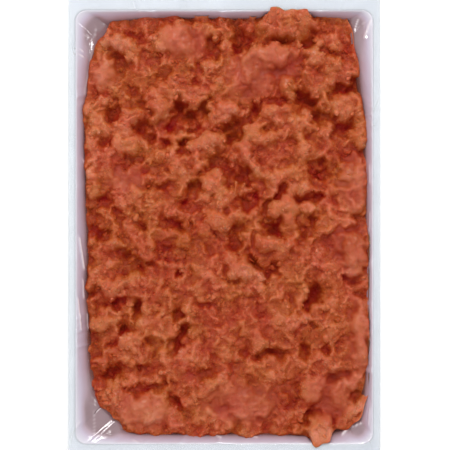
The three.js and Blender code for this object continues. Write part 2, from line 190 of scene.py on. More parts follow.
# Large clumps: x, y, half length, half width, turn in degrees, how far the top stands over the crown.
CLUMPS = [
    (-29, 103, 13, 9, -10, 4), (-66, 86, 10, 7, 80, 2.8), (-58, 101, 10, 5, -10, 2.6),
    (-36, 71, 10, 7, -35, 3.2), (-53, 60, 8, 5, 20, 2.8), (-55, 46, 8, 5, 0, 4), (-68, 55, 7, 6, 0, 2.6),
    (-35, 40, 9, 4, 15, 2.6), (34, 112, 12, 6, 0, 5.5), (57, 102, 9, 6, -10, 3.4), (28, 94, 18, 7, 12, 4.2),
    (57, 90, 13, 5, -12, 3.8), (18, 83, 14, 10, 0, 2.4), (36, 76, 8, 4, -50, 5), (53, 70, 8, 3, -75, 4),
    (28, 63, 9, 4, 10, 3.4), (41, 56, 7, 6, 0, 3.4), (-1, 65, 10, 6, 45, 3), (20, 49, 11, 4, -12, 3.4),
    (-8, 47, 9, 6, 0, 4.4), (-72, 32, 12, 4.5, 90, 2.6), (-4, 20, 12, 7, -60, 3.8), (-1, 2, 8, 5, -70, 3.2),
    (61, 68, 5, 3.5, 0, 1), (24, 27, 9, 5, -50, 2.6), (-52, 20, 9, 5, -35, 2.4), (33, 10, 9, 6, -25, 4.8),
    (45, 22, 6, 3, -25, 3.6), (26, -9, 7, 5, 0, 3.2), (9, -22, 12, 7, -40, 3.6), (73, 22, 13, 7, 90, 3.2),
    (72, -16, 13, 8, 90, 3.4), (-62, -31, 9, 6, 0, 3), (-6, -30, 7, 6, 0, 2.8), (75, -60, 19, 6, 88, 4),
    (-67, -53, 7, 6, 90, 3.2), (-51, -64, 7, 5, 0, 3.4), (-41, -92, 5, 4, 80, 3),
    (-46, -101, 17, 7, -5, 3.2), (12, -98, 14, 9, 0, 2.6), (-12, -88, 9, 5, 25, 2.8),
    (50, -88, 9, 6, 75, 2.8), (70, -101, 7, 5, 35, 2.8), (36, -49, 10, 6, 0, 2.2), (14, -32, 8, 5, 0, 2.6),
    (-12, -34, 9, 6, 0, 2), (-62, -96, 8, 5, -40, 2.4), (4, 80, 10, 3.2, 64, 3.4), (15, 94, 9, 3.2, 36, 4),
    (30, 98, 9, 3.6, 3, 4.8), (45, 97, 8, 3.2, -16, 4.2), (61, 89, 9, 3.2, -38, 3.6),
    (12, 41, 7, 2.8, 95, 3), (42, 43, 8, 2.8, 80, 3.2), (31, 28, 8, 2.8, 5, 3.2), (18, 32, 6, 2.6, -45, 3),
    (26, 57, 8, 2.8, 5, 3),
]
# Two clumps that lie over the rim, in the same form. They stand against the head wall and the foot wall.
RIM_CLUMPS = [(35, 113, 16, 6, 0, 5), (53, -112, 7.5, 7, 0, 5)]
# Where the roe is paler or darker than its height makes it, partly real stains and partly painted shade and
# painted light where a clump lies in shade or catches the lamp: x, y, half length, half width, turn, by how
# much.
STAINS_AND_SHADING = [
    (22, 82, 15, 8, 10, -1), (-20, -9, 18, 11, 0, -1.2), (-57, -10, 18, 9, -20, -1),
    (-58, -27, 12, 6, 0, -0.8), (-36, 34, 12, 6, 0, -0.8), (64, 36, 10, 7, 0, -0.8),
    (51, 82, 8, 5, 0, -0.8), (35, -93, 9, 8, 0, -1.3), (-34, 95, 7, 5, 0, 0.8), (-60, 99, 7, 5, 0, 0.7),
    (46, 3, 9, 6, 0, -0.7), (-70, 36, 7, 9, 0, 0.9), (-28, -5, 8, 4, 0, -0.7), (-60, -62, 7, 4, 0, 0.7),
    (74, -85, 5, 6, 0, 0.7), (-48, -73, 11, 6, 0, -0.9), (66, -8, 10, 7, 0, -1.2), (62, 74, 9, 5, 0, -0.8),
    (34, 113, 14, 7, 0, -0.5), (53, -115, 8, 7, 0, 1.4), (31, 104, 10, 4, 0, 0.5), (-71, 4, 7, 14, 0, -1.4),
    (-10, 108, 14, 5, 0, -0.8), (-72, 74, 8, 36, 0, 0.9), (70, -36, 9, 14, 0, 1), (70, -92, 8, 22, 0, 0.8),
    (-48, -103, 24, 8, 0, 0.9), (4, -28, 22, 7, 0, 0.7), (54, 12, 14, 5, 0, 0.8), (22, 30, 10, 7, -40, 0.6),
    (-2, -106, 16, 6, 0, 0.6),
]
# Where the roe is smooth and held together by membrane: x, y, half length, half width, turn in degrees.
SMOOTH = [
    (20, 86, 22, 13, 12), (-22, 102, 14, 9, -10), (74, -60, 24, 6, 90), (70, -14, 16, 11, 90),
    (72, 24, 16, 8, 90), (60, -92, 16, 12, 60), (8, -98, 22, 12, 0), (-46, -102, 18, 9, 0),
    (-54, 26, 12, 7, 0), (-66, 86, 10, 8, 90),
]
print(len(HOLLOWS), "hollows,", len(CLUMPS), "large clumps")

# %% The relief map
# The map is a net of this pitch, and reaches this far from the middle both ways.
PITCH = 0.45
REACH_X, REACH_Y = 88, 128
grid_x, grid_y = np.meshgrid(np.arange(-REACH_X, REACH_X, PITCH), np.arange(-REACH_Y, REACH_Y, PITCH))
# The forms are looked up at places that three sizes of noise have shifted, which tears their round outlines.
WARPS = [(9, 2.0), (4.5, 1.9), (2.2, 1.3)]  # the size of the noise and how far it shifts
warp_x = grid_x + sum(reach * noise(grid_x, grid_y, size, k) for k, (size, reach) in enumerate(WARPS, 1))
warp_y = grid_y + sum(reach * noise(grid_x, grid_y, size, k) for k, (size, reach) in enumerate(WARPS, 4))
shift = np.hypot(warp_x - grid_x, warp_y - grid_y)
print("relief map:", grid_x.shape, "points, shifted by up to", round(float(shift.max()), 1), "mm")


def window(x, y, reach):
    """The part of the map within reach of (x, y), as a slice of its rows and one of its columns."""
    n = reach / PITCH + 1
    middles = (y - grid_y[0, 0]) / PITCH, (x - grid_x[0, 0]) / PITCH
    return tuple(slice(max(0, int(k - n)), max(0, int(k + n))) for k in middles)


def ellipse_distance(form, part):
    """How far each place of a part of the map lies from the middle of a turned ellipse, whose rim is at 1."""
    x, y, half_length, half_width, turn = form[:5]
    dx, dy = warp_x[part] - x, warp_y[part] - y
    cos, sin = math.cos(math.radians(turn)), math.sin(math.radians(turn))
    return np.hypot((dx * cos + dy * sin) / half_length, (dy * cos - dx * sin) / half_width)


def mounds(forms, foot):
    """The highest of many mounds at each place. A mound reaches from foot up to its rise, which is the sixth
    value of its form, by the square root of 1 - d^2.4 of the ellipse distance d."""
    field = np.full(grid_x.shape, float(foot))
    for form in forms:
        part = window(form[0], form[1], max(form[2:4]) + 4)
        d = np.minimum(ellipse_distance(form, part), 1)
        np.maximum(field[part], foot + (form[5] - foot) * np.sqrt(1 - d**2.4), out=field[part])
    return field


def hollows(forms):
    """How deep the hollows are at each place. Each is a core with an uneven bottom, which fades out from 0.5
    to 1.3 of its ellipse, in a wide basin that fades out from 0.7 to 2.2. The core gives the larger share of
    the depth, which is the sixth value of the form, and the deepest hollow wins."""
    core_share, basin_share = 0.62, 0.38
    field = np.zeros(grid_x.shape)
    uneven = 0.75 + 0.45 * fractal(grid_x, grid_y, 5, 21)
    for form in forms:
        part = window(form[0], form[1], 2.1 * max(form[2:4]) + 4)
        d = ellipse_distance(form, part)
        core, basin = 1 - smooth_step(0.5, 1.3, d), 1 - smooth_step(0.7, 2.2, d)
        depth = form[5] * (core_share * uneven[part] * core + basin_share * basin)
        np.maximum(field[part], depth, out=field[part])
    return field


# %% The mounds that are drawn from a seed
def stream(seed, count):
    """A stream of numbers between 0 and 1: each state is a factor times the last, modulo a prime. The solid
    model draws its mounds from the same stream, so that both have them in the same places."""
    factor, prime = 48271, 2147483647
    state, values = seed, []
    for _ in range(count):
        state = state * factor % prime
        values.append(state / prime)
    return np.array(values)


MOUND_COUNT = 620
draws = stream(1207, MOUND_COUNT * 4).reshape(-1, 4)
radius = mix(4, 8.5, draws[:, 2] ** 1.6)
rise = 0.4 * (radius * 0.36 + 1.5 * (draws[:, 3] - 0.75))
drawn = np.column_stack([mix(-85, 85, draws[:, 0]), mix(-116, 116.5, draws[:, 1]), radius, radius,
                         np.zeros(MOUND_COUNT), rise])
print("drawn mounds:", len(drawn), "rising", np.round([rise.min(), rise.max()], 2), "mm")


def flakes(count, smallest, largest, spread, lean, drop, seed):
    """The highest of many seeded flakes at each place. A flake is a torn ellipse with its own height, and its
    top leans in a random direction. From 0.75 to 1.15 of the ellipse it drops by a share of its width."""
    whole, torn = 0.75, 1.15
    rng = np.random.default_rng(seed)
    half_width = smallest * (largest / smallest) ** rng.random(count) ** 1.5
    forms = np.column_stack([
        rng.uniform(-86, 86, count), rng.uniform(-126, 126, count), half_width * rng.uniform(1, 1.7, count),
        half_width, rng.uniform(0, 180, count), spread * rng.uniform(-1, 1, count)])
    field = np.full(grid_x.shape, -float(spread))
    for form, slope in zip(forms, lean * rng.normal(size=(count, 2))):
        part = window(form[0], form[1], form[2] + 4)
        d = ellipse_distance(form, part)
        top = form[5] + slope[0] * (warp_x[part] - form[0]) + slope[1] * (warp_y[part] - form[1])
        top -= drop * form[3] * smooth_step(whole, torn, d)
        np.maximum(field[part], np.where(d < torn, top, -spread), out=field[part])
    return field


def closed(field, reach):
    """The field with its narrow cracks filled: each value becomes the highest within reach, and then the
    lowest of those within reach."""
    n = int(round(reach / PITCH))
    shifts = [(i, j) for i in range(-n, n + 1) for j in range(-n, n + 1) if i * i + j * j <= n * n + 1]
    raised = np.maximum.reduce([np.roll(field, shift, (0, 1)) for shift in shifts])
    return np.minimum.reduce([np.roll(raised, shift, (0, 1)) for shift in shifts])


def over_rim(x, y):
    """How far a place is under one of the clumps that lie over the rim: 1.15 (1 - s^2) of the share s of the
    clump's half length, cut off at 0 and 1, times a smooth step towards the end of the tray."""
    ragged = 1.6 * noise(x, y, 5, 35) + 0.8 * noise(x, y, 2.5, 36)
    share = [np.clip(1.15 * (1 - ((x - form[0] + ragged) / form[2]) ** 2), 0, 1)
             * smooth_step(97, 115, y * np.sign(form[1])) for form in RIM_CLUMPS]
    return np.maximum(*share)


# %% The smooth patches, and the stains with painted shade and light
smoothness = np.zeros(grid_x.shape)
for form in SMOOTH:
    part = window(form[0], form[1], 1.4 * max(form[2:4]) + 3)
    patch = 1 - smooth_step(0.6, 1.3, ellipse_distance(form, part))
    np.maximum(smoothness[part], patch, out=smoothness[part])

# The stains and the painted shade and light, added up over the map.
stain_and_shading = np.zeros(grid_x.shape)
for form in STAINS_AND_SHADING:
    part = window(form[0], form[1], 1.6 * max(form[2:4]) + 3)
    stain_and_shading[part] += form[5] * (1 - smooth_step(0.3, 1.5, ellipse_distance(form, part)))
print("smooth part of the map:", round(100 * float((smoothness > 0.5).mean())), "%")


# %% The layers of the relief
# The heap is a shallow dome. The foot of the tray is less broken up than the rest.
LEVEL, CROWN_ACROSS, CROWN_ALONG = 29.8, 1.9, 0.9
dome = LEVEL + CROWN_ACROSS * (1 - (grid_x / 80) ** 2) + CROWN_ALONG * (1 - (grid_y / 118) ** 2)
large = blurred(mounds([*drawn, *CLUMPS, *RIM_CLUMPS], -1), 1.6)
foot_to_head = smooth_step(-45, -10, grid_y)
broken = mix(0.5, 0.85, foot_to_head) * flakes(420, 5, 10, spread=1.8, lean=0.17, drop=0.42, seed=15)
small = 0.7 * flakes(2600, 1.8, 4, spread=0.7, lean=0.2, drop=0.35, seed=11)
crumbly = flakes(9000, 0.9, 2.2, spread=0.45, lean=0.3, drop=0.5, seed=17)
crumbly -= 0.6 * ridged(grid_x, grid_y, 2.6, 75, 2)
waves = 0.9 * (0.4 - ridged(grid_x, grid_y, 8, 73, 4)) + 0.5 * fractal(grid_x, grid_y, 9, 78)
for title, layer in (("dome", dome), ("mounds", large), ("large flakes", broken), ("small flakes", small),
                     ("crumbly layer", crumbly), ("waves", waves)):
    print(f"{title}: {layer.min():.1f} to {layer.max():.1f} mm")

# %% Put the relief together
# Each layer has its weight, and the finer ones are weaker where the roe is smooth. Cracks narrower than the
# reach of the closing fill up before the crumbly layer goes on.
base = dome + 1.25 * large + waves + (1 - 0.35 * smoothness) * broken + (1 - 0.4 * smoothness) * small - 1
base = closed(base - 1.05 * hollows(HOLLOWS), 0.9)
relief = blurred(blurred(base, 0.6) + (1 - 0.5 * smoothness) * 0.9 * crumbly, 0.55)
# The clumps that lie over the rim have four fifths of the finer relief, round a height just over the rim.
over_rim_here = smooth_step(0, 0.7, over_rim(grid_x, grid_y))
relief = mix(relief, RIM_TOP + 0.5 + 0.8 * (broken + waves + small + crumbly - 0.6), over_rim_here)
# A soft ceiling keeps the highest clumps within the solid model's height.
CEILING, SOFTNESS = 38.7, 0.6
relief -= SOFTNESS * np.logaddexp(0, (relief - CEILING) / SOFTNESS)
print("relief, mm: from", round(float(relief.min()), 1), "to", round(float(relief.max()), 1))


def read_map(field, x, y):
    """The map's value at any places, as the mean of the four nearest points weighted by nearness."""
    u = np.clip((x - grid_x[0, 0]) / PITCH, 0, field.shape[1] - 1.001)
    v = np.clip((y - grid_y[0, 0]) / PITCH, 0, field.shape[0] - 1.001)
    i, j = v.astype(int), u.astype(int)
    s, t = u - j, v - i
    return mix(mix(field[i, j], field[i, j + 1], s), mix(field[i + 1, j], field[i + 1, j + 1], s), t)


# %% [markdown]
# ## The mass of roe
#
# The relief map becomes the skin of one closed mass, which fills the tray to its floor. Metaballs or a
# displaced cube could make it, but then the points would not lie where the relief needs them. So we bend a
# square net into the mass's outline and lift it by the map. Real clumps are a little wider at the top than at
# the foot, so each point is pushed downhill by up to 0.3 mm. The edge of the net is rounded down to the lined
# wall and then follows it to the floor. Only under the two clumps that lie over the rim does it stay above
# the rim and reach out.

# %% The outline of the mass
# How far out the left and the right side run, as y, left, right, and how far the two ends.
SIDES = np.array([(-116, 75, 78), (-95, 76.4, 80), (-60, 76.6, 81), (-20, 76.3, 81.2), (10, 76.8, 80.8),
                  (40, 78, 79.8), (69, 78.2, 76.6), (90, 77, 74.4), (105, 75, 73), (117, 73, 72)])
HEAD, FOOT = 117.2, 116
# How square each corner is, as the power of its superellipse: foot left and right, head left and right.
POWERS = np.array([[5.4, 9], [7.5, 14]])
# How much further the ends reach under the clumps that lie over the rim.
HEAD_REACH, FOOT_REACH = 2.4, -2.6


def plan(u, v):
    """Where a point of the square -1..1 lies on the roe, and how far in from the edge. Contours of the square
    turn into rounded rectangles towards the edge, by the superellipse |u|^p + |v|^p = 1 with its own p in
    each corner, and the edge is a little ragged. Where a clump lies over the rim, the end reaches out under
    it."""
    reach = np.maximum(np.maximum(np.abs(u), np.abs(v)), 1e-9)
    end = np.where(v > 0, HEAD, FOOT)
    left, right = (np.interp(v * end, SIDES[:, 0], SIDES[:, k]) for k in (1, 2))
    side = np.where(u > 0, right, left)
    power = POWERS[(v > 0).astype(int), (u > 0).astype(int)]
    corner = np.maximum(np.abs(u / reach) ** power + np.abs(v / reach) ** power, 1) ** (-1 / power)
    turn = np.arctan2(v, u)
    ragged = 0.008 * (np.sin(17 * turn) + np.sin(31 * turn + 1))
    ragged += 0.006 * np.sin(73 * turn) * np.sin(5 * turn)
    scale = 1 + (corner - 1 + ragged) * reach**6
    x, y = side * u * scale, end * v * scale
    inward = np.minimum((1 - np.abs(u)) * side, (1 - np.abs(v)) * end)
    return x, y + np.where(v > 0, HEAD_REACH, FOOT_REACH) * over_rim(x, y) * reach**20, inward


def within_walls(x, y, z):
    """The nearest place that is clear of the film on the leaning inner walls at height z."""
    clear = 2 * GAP + FILM_THICKNESS + 0.15
    lean = TRAY["inner_draft"] * (TRAY["height"] - z) / (TRAY["height"] - TRAY["floor"])
    half_x = TRAY["width"] / 2 - TRAY["side_rim"] - lean - clear
    half_y = TRAY["length"] / 2 - TRAY["end_rim"] - lean - clear
    return np.clip(x, -half_x, half_x), np.clip(y, -half_y, half_y)


# %% The top of the mass
COLUMNS, ROWS = 290, 430
PUSH = 0.3  # how far the steepest places move downhill
ROUNDING = 3  # how wide the rounded edge is
u, v = np.meshgrid(np.linspace(-1, 1, COLUMNS + 1), np.linspace(-1, 1, ROWS + 1))
x, y, inward = plan(u, v)
height = read_map(relief, x, y)
slope_y, slope_x = np.gradient(blurred(relief, 2.5), PITCH)
slope_x, slope_y = read_map(slope_x, x, y), read_map(slope_y, x, y)
steep = np.hypot(slope_x, slope_y) + 1e-9
push = PUSH * np.tanh(steep / 1.2) / steep * smooth_step(0, 6, inward)
rounded = np.sqrt(1 - (1 - np.clip(inward / ROUNDING, 0, 1)) ** 2)
# The mass stands higher against the right wall and the head wall than against the other two.
right = smooth_step(60, 76, x)
head = smooth_step(100, 114, y) * smooth_step(72, 64, x) * smooth_step(-62, -45, x)
edge = 26.5 + right * (2.5 + 4 * smooth_step(30, -10, y)) + 4.5 * head + 1.5 * noise(x, y, 9, 31)
over = smooth_step(0.05, 0.75, over_rim(x, y))
edge = mix(edge, RIM_TOP - 0.1, over)
on_rim = (over > 0.9) * (abs(y) > 115)
z = mix(edge, np.maximum(height, (RIM_TOP + 0.4) * on_rim), rounded)
x, y = x - push * slope_x, y - push * slope_y
inside_x, inside_y = within_walls(x, y, z)
free = (z > RIM_TOP) & (over > 0)
top = np.stack([np.where(free, x, inside_x), np.where(free, y, inside_y), z], -1).reshape(-1, 3)
print("the top's edge stands at", np.round([edge.min(), edge.max()], 1), "mm")

# %% Close it with sides and a base
index = np.arange(top.shape[0]).reshape(ROWS + 1, COLUMNS + 1)
top_faces = np.stack([index[:-1, :-1], index[:-1, 1:], index[1:, 1:], index[1:, :-1]], -1).reshape(-1, 4)
rim = np.concatenate([index[0, :-1], index[:-1, -1], index[-1, :0:-1], index[:0:-1, 0]])
# The sides go down in eight steps, with shallow dents.
levels = np.linspace(0, 1, 9)[:, None]
side_z = mix(np.minimum(top[rim, 2] - 0.3, RIM_TOP), ROE_BOTTOM, levels)
side_x, side_y = within_walls(top[rim, 0] + 0 * levels, top[rim, 1] + 0 * levels, side_z)
waviness = noise(np.arange(len(rim)) * 0.7 + 0 * levels, levels * 9 + 0 * side_z, 3, 32)
dent = 1 - 0.006 * levels * (1 + waviness)
side = np.stack([side_x * dent, side_y * dent, side_z], -1).reshape(-1, 3)
rings = np.vstack([rim, len(top) + np.arange(len(side)).reshape(len(levels), -1)])
after = np.roll(rings, -1, axis=1)
side_faces = np.stack([rings[1:], after[1:], after[:-1], rings[:-1]], -1).reshape(-1, 4)
points = np.vstack([top, side, [[0, 0, ROE_BOTTOM]]])
base_faces = np.stack([np.full(len(rim), len(points) - 1), after[-1], rings[-1]], -1)
print("points on the top and on the sides:", len(top), len(side))

# %% How hollow and how smooth each place is
# The hollow value is how far a place lies below the blurred relief round it, at three sizes of blur. In the
# finish it becomes painted shade, dark red in the hollows, and painted light, pale where a place stands above
# the relief round it.
close, near, wide = (read_map(blurred(relief, sigma), points[:, 0], points[:, 1]) - points[:, 2]
                     for sigma in (2.5, 7, 22))
hollow = np.clip(0.35 * close + 0.15 * near + 0.11 * wide, -0.6, 1.5)
# The rounded edge isn't a hollow, though it lies deeper than the rest.
from_edge = np.concatenate([inward.ravel(), np.zeros(len(points) - inward.size)])
hollow = np.minimum(hollow, mix(0.2, 1.5, smooth_step(1, 6, from_edge)))
smooth_here = read_map(smoothness, points[:, 0], points[:, 1])
# The hollow value and the tone go to the finish. Both carry painted shade and light, and the tone also the
# stains.
mass = make_mesh("roe_mass", points, [top_faces, side_faces, base_faces], hollow=hollow,
                 smoothness=smooth_here, tone=0.5 + read_map(stain_and_shading, points[:, 0], points[:, 1]))

# %% [markdown]
# ## Loose crumbs and eggs
#
# What makes a heap look like a heap is the loose stuff on top: lumps of a few millimetres, crumbs and single
# eggs of one millimetre. Geometry nodes could scatter them, but copies of one mesh would all look alike. So
# each copy of a ball is cut, dented, squeezed and turned at random with array sums, and all copies of a kind
# are joined into one mesh. They are sunk a little into the mass, and most of them keep off the smooth
# patches.

# %% The ball that the copies start from
def ball(levels):
    """A unit ball of triangles: an icosahedron whose faces are split in four as often as asked, with each new
    point pushed out to the sphere."""
    g = (1 + 5**0.5) / 2
    pts = np.array([(-1, g, 0), (1, g, 0), (-1, -g, 0), (1, -g, 0), (0, -1, g), (0, 1, g),
                    (0, -1, -g), (0, 1, -g), (g, 0, -1), (g, 0, 1), (-g, 0, -1), (-g, 0, 1)])
    pts = pts / np.linalg.norm(pts, axis=1, keepdims=True)
    tris = np.array([(0, 11, 5), (0, 5, 1), (0, 1, 7), (0, 7, 10), (0, 10, 11), (1, 5, 9), (5, 11, 4),
                     (11, 10, 2), (10, 7, 6), (7, 1, 8), (3, 9, 4), (3, 4, 2), (3, 2, 6), (3, 6, 8),
                     (3, 8, 9), (4, 9, 5), (2, 4, 11), (6, 2, 10), (8, 6, 7), (9, 8, 1)])
    for _ in range(levels):
        pairs = np.sort(np.vstack([tris[:, [0, 1]], tris[:, [1, 2]], tris[:, [2, 0]]]), axis=1)
        edges, which = np.unique(pairs, axis=0, return_inverse=True)
        middle = pts[edges].sum(1)
        ab, bc, ca = len(pts) + which.reshape(3, -1)
        pts = np.vstack([pts, middle / np.linalg.norm(middle, axis=1, keepdims=True)])
        a, b, c = tris.T
        tris = np.vstack([np.stack(t, 1) for t in ((a, ab, ca), (b, bc, ab), (c, ca, bc), (ab, bc, ca))])
    return pts, tris


def random_turns(count, rng):
    """Random turns, as an array of 3 by 3 matrices, each from a random unit quaternion."""
    q = rng.normal(size=(count, 4))
    w, x, y, z = (q / np.linalg.norm(q, axis=1, keepdims=True)).T
    return np.stack([np.stack([1 - 2 * (y * y + z * z), 2 * (x * y - z * w), 2 * (x * z + y * w)], 1),
                     np.stack([2 * (x * y + z * w), 1 - 2 * (x * x + z * z), 2 * (y * z - x * w)], 1),
                     np.stack([2 * (x * z - y * w), 2 * (y * z + x * w), 1 - 2 * (x * x + y * y)], 1)], 1)


print("triangles of a ball, split never and once:", [len(ball(levels)[1]) for levels in (0, 1)])


# %% Copies of the ball joined into one mesh
def scatter(name, levels, places, sizes, flat, dents, seed, tones, hollow):
    """Copies of a ball at many places, joined into one mesh. Each copy is cut flat by six random planes,
    dented by three waves with its own phases, squeezed to its own flatness, turned at random and given its
    size."""
    deepest_cut, wave_number = 0.62, 2.4
    rng = np.random.default_rng(seed)
    count = len(places)
    pts, tris = ball(levels)
    planes = rng.normal(size=(count, 6, 3))
    planes /= np.linalg.norm(planes, axis=2, keepdims=True)
    toward = np.einsum("nwk,pk->nwp", planes, pts)
    cut = np.minimum(1, (mix(1, deepest_cut, min(1, dents * 8)) / np.maximum(toward, 1e-6)).min(1))
    ways, phases = rng.normal(size=(count, 3, 3)), rng.uniform(0, 2 * math.pi, (count, 3, 1))
    waves = np.sin(np.einsum("nwk,pk->nwp", ways * wave_number, pts) + phases).sum(1)
    shape = pts[None] * (cut * (1 + dents * waves))[..., None]
    shape = shape * np.stack([rng.uniform(0.9, 1.35, count), rng.uniform(0.85, 1.1, count),
                              rng.uniform(flat, 1, count)], 1)[:, None]
    shape = np.einsum("nij,npj->npi", random_turns(count, rng), shape) * sizes[:, None, None]
    points = (shape + places[:, None]).reshape(-1, 3)
    faces = (tris[None] + len(pts) * np.arange(count)[:, None, None]).reshape(-1, 3)
    # Painted shade and light: below its middle a copy is as dark as the painted shade of the hollow that it
    # lies in, and its top is painted lighter.
    lift = (shape[..., 2] / sizes[:, None]).ravel() * 0.12
    return make_mesh(name, points, faces, tone=np.repeat(tones, len(pts)),
                     hollow=np.repeat(hollow, len(pts)) - lift, smoothness=np.zeros(len(points)))


# %% Choose places on the mass
grain_zone = 1 - smooth_step(0.15, 0.6, smoothness)


def choose(count, inset, seed):
    """Random places on the top of the mass, as its points, outward normals and hollow values. A place on a
    smooth patch is mostly passed over, and so is one nearer to the edge than the inset."""
    rng = np.random.default_rng(seed)
    u, v = rng.uniform(-1, 1, (2, count * 3))
    px, py, inward = plan(u, v)
    keep = (rng.random(len(u)) < 0.06 + read_map(grain_zone, px, py)) & (inward > inset)
    i, j = (((t[keep] + 1) / 2 * n).round().astype(int) for t, n in ((v, ROWS), (u, COLUMNS)))
    k = rng.permutation(np.unique(index[i, j]))[:count]
    i, j = np.clip(k // (COLUMNS + 1), 1, ROWS - 1), np.clip(k % (COLUMNS + 1), 1, COLUMNS - 1)
    along = top[index[i, j + 1]] - top[index[i, j - 1]]
    up = top[index[i + 1, j]] - top[index[i - 1, j]]
    normal = np.cross(along, up)
    normal /= np.linalg.norm(normal, axis=1, keepdims=True) + 1e-9
    return top[index[i, j]], normal, hollow[index[i, j]]


# %% Lumps, crumbs and eggs
def lay(name, levels, count, sizes, flat, dents, sunk, inset, seed):
    """Scatter one kind over the mass. Each copy's middle lies (sunk - 0.5) of its size below the surface, and
    it is no larger than the room below the highest level allows."""
    highest, smallest = 39.1, 0.3
    places, normals, hollow_there = choose(count, inset, seed)
    rng = np.random.default_rng(seed + 1)
    size = sizes[0] * (sizes[1] / sizes[0]) ** rng.random(len(places)) ** 1.5
    size = np.minimum(size, np.maximum(smallest, highest - places[:, 2]))
    # A copy's tone is random, plus the stains and painted shade and light of the map.
    tones = np.clip(rng.normal(0.5, 0.2, len(places)), 0, 1) + read_map(stain_and_shading, places[:, 0], places[:, 1])
    middles = places + normals * (size * (0.5 - sunk))[:, None]
    return scatter(name, levels, middles, size, flat, dents, seed + 2, tones, hollow_there)


BROKEN = dict(levels=1, flat=0.4, dents=0.16)
ROUND = dict(levels=0, flat=0.85, dents=0.0)
clods = lay("roe_clods", count=450, sizes=(1.2, 2.3), sunk=0.85, inset=3.5, seed=101, **BROKEN)
crumbs = lay("roe_crumbs", count=2000, sizes=(0.7, 1.4), sunk=0.75, inset=2.5, seed=201, **BROKEN)
eggs = lay("roe_eggs", count=9500, sizes=(0.38, 0.55), sunk=0.75, inset=1.5, seed=301, **ROUND)
pale_eggs = lay("roe_eggs_pale", count=9500, sizes=(0.34, 0.5), sunk=0.65, inset=1.5, seed=401, **ROUND)
roe_pieces = [mass, clods, crumbs, eggs, pale_eggs]

# %% [markdown]
# ## The foam tray
#
# The box is pressed from white foam, with walls that lean outwards and a rounded rim. A cube with bevels
# could give it, but the rim is wider at the ends than at the sides, and the film needs the same section once
# more, a little larger. So a profile is carried round a rounded rectangle. It is the solid model's profile
# with more points, so that the lips and the corners look round from close by, and a shallow recess comes
# underneath.

# %% The section of the wall
ARC_STEPS = 8
ARC = ARC_STEPS + 1  # the rows of one arc


def profile(rim, offset, outer_end):
    """The section of the wall: three arcs, which are the inner foot and the rim's two lips, and the end of
    the outer wall. Each row is the inset from the outer face, the height, and how far the offset has moved
    the corner's radius outwards."""
    t = TRAY
    lip, foot, lip_z = t["lip"], t["inner_foot"], t["height"] - t["lip"]
    parts = []
    for inset, z, r, start, end in [(rim + t["inner_draft"] + foot, t["floor"] + foot, -foot, -90, -8),
                                    (rim - lip, lip_z, lip, 172, 90), (lip, lip_z, lip, 90, 2)]:
        a = np.radians(np.linspace(start, end, ARC))
        side = np.sign(r)
        reach = abs(r) + offset * side
        moved = np.cos(a) * offset * side
        parts.append(np.stack([inset - np.cos(a) * reach, z + np.sin(a) * reach, moved], 1))
    last = [t["outer_draft"] * (t["height"] - outer_end) / t["height"] - offset, outer_end, offset]
    return np.vstack([*parts, [last]])


print("rows of the section:", len(profile(TRAY["side_rim"], 0, 0)))


# %% Carry it round
def rounded_ring(half_x, half_y, radius, z, corner_steps=14, side_steps=(18, 28)):
    """Points round rounded rectangles, anticlockwise, for whole arrays of sizes at once. A corner is a
    quarter circle whose middle lies a radius inside both sides, and straight rows of points join the corners.
    Rows of the result are rings and columns run round."""
    half_x, half_y, radius, z = (np.asarray(a, float)[:, None] for a in (half_x, half_y, radius, z))
    signs = [(1, 1), (-1, 1), (-1, -1), (1, -1)]

    def on_corner(k, a):
        """The point of corner k in the direction of angle a."""
        sx, sy = signs[k % 4]
        return sx * (half_x - radius) + np.cos(a) * radius, sy * (half_y - radius) + np.sin(a) * radius

    columns = []
    for k in range(4):
        arc = np.radians(90 * k + np.linspace(0, 90, corner_steps + 1))[None]
        last = np.radians(90 * k + 90)
        (x0, y0), (x1, y1) = on_corner(k, last), on_corner(k + 1, last)
        t = np.linspace(0, 1, side_steps[k % 2] + 1)[None, 1:-1]
        columns += [np.stack(on_corner(k, arc), -1), np.stack([mix(x0, x1, t), mix(y0, y1, t)], -1)]
    flat = np.concatenate(columns, 1)
    return np.concatenate([flat, np.broadcast_to(z[..., None], flat.shape[:2] + (1,))], -1)


def lofted(rings, close_ends=True):
    """Quads between neighbouring rings, and a fan that closes the first ring and the last."""
    levels, count = rings.shape[:2]
    points = rings.reshape(-1, 3)
    i = np.arange(levels * count).reshape(levels, count)
    j = np.roll(i, -1, axis=1)
    quads = np.stack([i[:-1], j[:-1], j[1:], i[1:]], -1).reshape(-1, 4)
    if not close_ends:
        return points, [quads]
    points = np.vstack([points, rings[0].mean(0), rings[-1].mean(0)])
    first, last = np.full(count, levels * count), np.full(count, levels * count + 1)
    ends = np.vstack([np.stack([first, j[0], i[0]], 1), np.stack([last, i[-1], j[-1]], 1)])
    return points, [quads, ends]


def wall_rings(offset, outer_end, **steps):
    """Rings of the wall's section at an offset from the foam."""
    side, end = (profile(TRAY[rim], offset, outer_end) for rim in ("side_rim", "end_rim"))
    inner_rows = np.arange(len(side)) < 2 * ARC
    corner = np.where(inner_rows, TRAY["inner_corner"], TRAY["outer_corner"]) + side[:, 2]
    half_x, half_y = TRAY["width"] / 2 - side[:, 0], TRAY["length"] / 2 - end[:, 0]
    return rounded_ring(half_x, half_y, corner, side[:, 1], **steps)


# %% The tray
half_width, half_length = TRAY["width"] / 2, TRAY["length"] / 2
